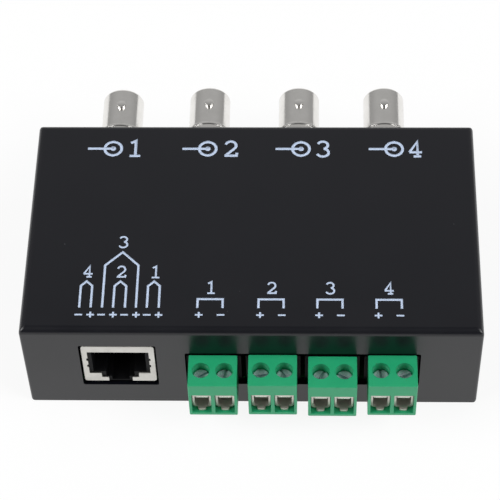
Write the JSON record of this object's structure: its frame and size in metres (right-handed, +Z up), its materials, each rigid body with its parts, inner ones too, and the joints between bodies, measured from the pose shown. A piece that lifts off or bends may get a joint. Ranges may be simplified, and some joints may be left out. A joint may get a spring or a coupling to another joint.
{
  "type": "video balun",
  "caption": "Flat black steel box that passes camera video between bayonet coaxial jacks at the back and a data socket or plug-in screw terminals in front.",
  "frame": {"origin": "middle of the case's underside, on the surface it rests on", "axes": "+Z up out of the top, +Y towards the coaxial jacks at the back, +X to the right as seen from the terminal side, along the case's length"},
  "size_m": [0.1, 0.0822, 0.028],
  "materials": {
    "black_powder_coat": "fine-textured matt black powder coat on folded sheet steel",
    "black_zinc_screw": "black zinc-plated steel, satin",
    "zinc_plated_steel": "bright zinc-plated steel with a faint blue passivation",
    "green_solder_mask": "green solder mask on glass-fibre board",
    "tin_plated_shield": "tin-plated steel sheet, satin",
    "black_moulding": "moulded black thermoplastic, slight sheen",
    "gold_plated_contact": "thin gold plate over copper alloy",
    "tin_plated_pin": "tin-plated copper alloy",
    "pale_ceramic": "glazed pale ceramic with metal end caps",
    "satin_nickel": "satin nickel plate over zinc die casting",
    "white_insulator": "white insulating polymer",
    "potting_resin": "black potting resin shell",
    "green_polyamide": "green moulded polyamide, slightly glossy",
    "nickel_plated_cage": "nickel-plated steel clamp cage"
  },
  "bodies": {
    "balun": {"case_cover": "black_powder_coat", "base_tray": "black_powder_coat", "case_screws": "black_zinc_screw", "board_standoffs": "zinc_plated_steel", "board_screws": "zinc_plated_steel", "circuit_board": "green_solder_mask", "socket_shield": "tin_plated_shield", "socket_housing": "black_moulding", "socket_contacts": "gold_plated_contact", "header_pins": "tin_plated_pin", "surge_arresters": "pale_ceramic", "jack_shell_1": "satin_nickel", "jack_insulator_1": "white_insulator", "jack_contact_1": "gold_plated_contact", "jack_body_1": "black_moulding", "balun_transformer_1": "potting_resin", "terminal_plug_1": "green_polyamide", "plug_contacts_1": "tin_plated_pin", "pin_header_1": "black_moulding", "jack_shell_2": "satin_nickel", "jack_insulator_2": "white_insulator", "jack_contact_2": "gold_plated_contact", "jack_body_2": "black_moulding", "balun_transformer_2": "potting_resin", "terminal_plug_2": "green_polyamide", "plug_contacts_2": "tin_plated_pin", "pin_header_2": "black_moulding", "jack_shell_3": "satin_nickel", "jack_insulator_3": "white_insulator", "jack_contact_3": "gold_plated_contact", "jack_body_3": "black_moulding", "balun_transformer_3": "potting_resin", "terminal_plug_3": "green_polyamide", "plug_contacts_3": "tin_plated_pin", "pin_header_3": "black_moulding", "jack_shell_4": "satin_nickel", "jack_insulator_4": "white_insulator", "jack_contact_4": "gold_plated_contact", "jack_body_4": "black_moulding", "balun_transformer_4": "potting_resin", "terminal_plug_4": "green_polyamide", "plug_contacts_4": "tin_plated_pin", "pin_header_4": "black_moulding"},
    "screw_1": {"clamp_screw_1": "zinc_plated_steel"},
    "cage_1": {"clamp_cage_1": "nickel_plated_cage"},
    "screw_2": {"clamp_screw_2": "zinc_plated_steel"},
    "cage_2": {"clamp_cage_2": "nickel_plated_cage"},
    "screw_3": {"clamp_screw_3": "zinc_plated_steel"},
    "cage_3": {"clamp_cage_3": "nickel_plated_cage"},
    "screw_4": {"clamp_screw_4": "zinc_plated_steel"},
    "cage_4": {"clamp_cage_4": "nickel_plated_cage"},
    "screw_5": {"clamp_screw_5": "zinc_plated_steel"},
    "cage_5": {"clamp_cage_5": "nickel_plated_cage"},
    "screw_6": {"clamp_screw_6": "zinc_plated_steel"},
    "cage_6": {"clamp_cage_6": "nickel_plated_cage"},
    "screw_7": {"clamp_screw_7": "zinc_plated_steel"},
    "cage_7": {"clamp_cage_7": "nickel_plated_cage"},
    "screw_8": {"clamp_screw_8": "zinc_plated_steel"},
    "cage_8": {"clamp_cage_8": "nickel_plated_cage"}
  },
  "joints": [
    {"name": "screw_1_turn", "type": "hinge", "parent": "balun", "child": "screw_1", "pos_m": [-0.01089, -0.0326, 0.01575], "axis": [0, 0, -1], "range_deg": [0, 1440.1]},
    {"name": "cage_1_rise", "type": "slide", "parent": "balun", "child": "cage_1", "axis": [0, 0, 1], "range_m": [0, 0.002]},
    {"name": "screw_2_turn", "type": "hinge", "parent": "balun", "child": "screw_2", "pos_m": [-0.00581, -0.0326, 0.01575], "axis": [0, 0, -1], "range_deg": [0, 1440.1]},
    {"name": "cage_2_rise", "type": "slide", "parent": "balun", "child": "cage_2", "axis": [0, 0, 1], "range_m": [0, 0.002]},
    {"name": "screw_3_turn", "type": "hinge", "parent": "balun", "child": "screw_3", "pos_m": [0.00211, -0.0326, 0.016], "axis": [0, 0, -1], "range_deg": [0, 1440.1]},
    {"name": "cage_3_rise", "type": "slide", "parent": "balun", "child": "cage_3", "axis": [0, 0, 1], "range_m": [0, 0.002]},
    {"name": "screw_4_turn", "type": "hinge", "parent": "balun", "child": "screw_4", "pos_m": [0.00719, -0.0326, 0.016], "axis": [0, 0, -1], "range_deg": [0, 1440.1]},
    {"name": "cage_4_rise", "type": "slide", "parent": "balun", "child": "cage_4", "axis": [0, 0, 1], "range_m": [0, 0.002]},
    {"name": "screw_5_turn", "type": "hinge", "parent": "balun", "child": "screw_5", "pos_m": [0.01511, -0.0326, 0.0155], "axis": [0, 0, -1], "range_deg": [0, 1440.1]},
    {"name": "cage_5_rise", "type": "slide", "parent": "balun", "child": "cage_5", "axis": [0, 0, 1], "range_m": [0, 0.002]},
    {"name": "screw_6_turn", "type": "hinge", "parent": "balun", "child": "screw_6", "pos_m": [0.02019, -0.0326, 0.0155], "axis": [0, 0, -1], "range_deg": [0, 1440.1]},
    {"name": "cage_6_rise", "type": "slide", "parent": "balun", "child": "cage_6", "axis": [0, 0, 1], "range_m": [0, 0.002]},
    {"name": "screw_7_turn", "type": "hinge", "parent": "balun", "child": "screw_7", "pos_m": [0.02811, -0.0326, 0.016], "axis": [0, 0, -1], "range_deg": [0, 1440.1]},
    {"name": "cage_7_rise", "type": "slide", "parent": "balun", "child": "cage_7", "axis": [0, 0, 1], "range_m": [0, 0.002]},
    {"name": "screw_8_turn", "type": "hinge", "parent": "balun", "child": "screw_8", "pos_m": [0.03319, -0.0326, 0.016], "axis": [0, 0, -1], "range_deg": [0, 1440.1]},
    {"name": "cage_8_rise", "type": "slide", "parent": "balun", "child": "cage_8", "axis": [0, 0, 1], "range_m": [0, 0.002]}
  ],
  "couplings": [
    {"joint": "screw_1_turn", "follows": "cage_1_rise", "rad_per_m": 12566},
    {"joint": "screw_2_turn", "follows": "cage_2_rise", "rad_per_m": 12566},
    {"joint": "screw_3_turn", "follows": "cage_3_rise", "rad_per_m": 12566},
    {"joint": "screw_4_turn", "follows": "cage_4_rise", "rad_per_m": 12566},
    {"joint": "screw_5_turn", "follows": "cage_5_rise", "rad_per_m": 12566},
    {"joint": "screw_6_turn", "follows": "cage_6_rise", "rad_per_m": 12566},
    {"joint": "screw_7_turn", "follows": "cage_7_rise", "rad_per_m": 12566},
    {"joint": "screw_8_turn", "follows": "cage_8_rise", "rad_per_m": 12566}
  ]
}
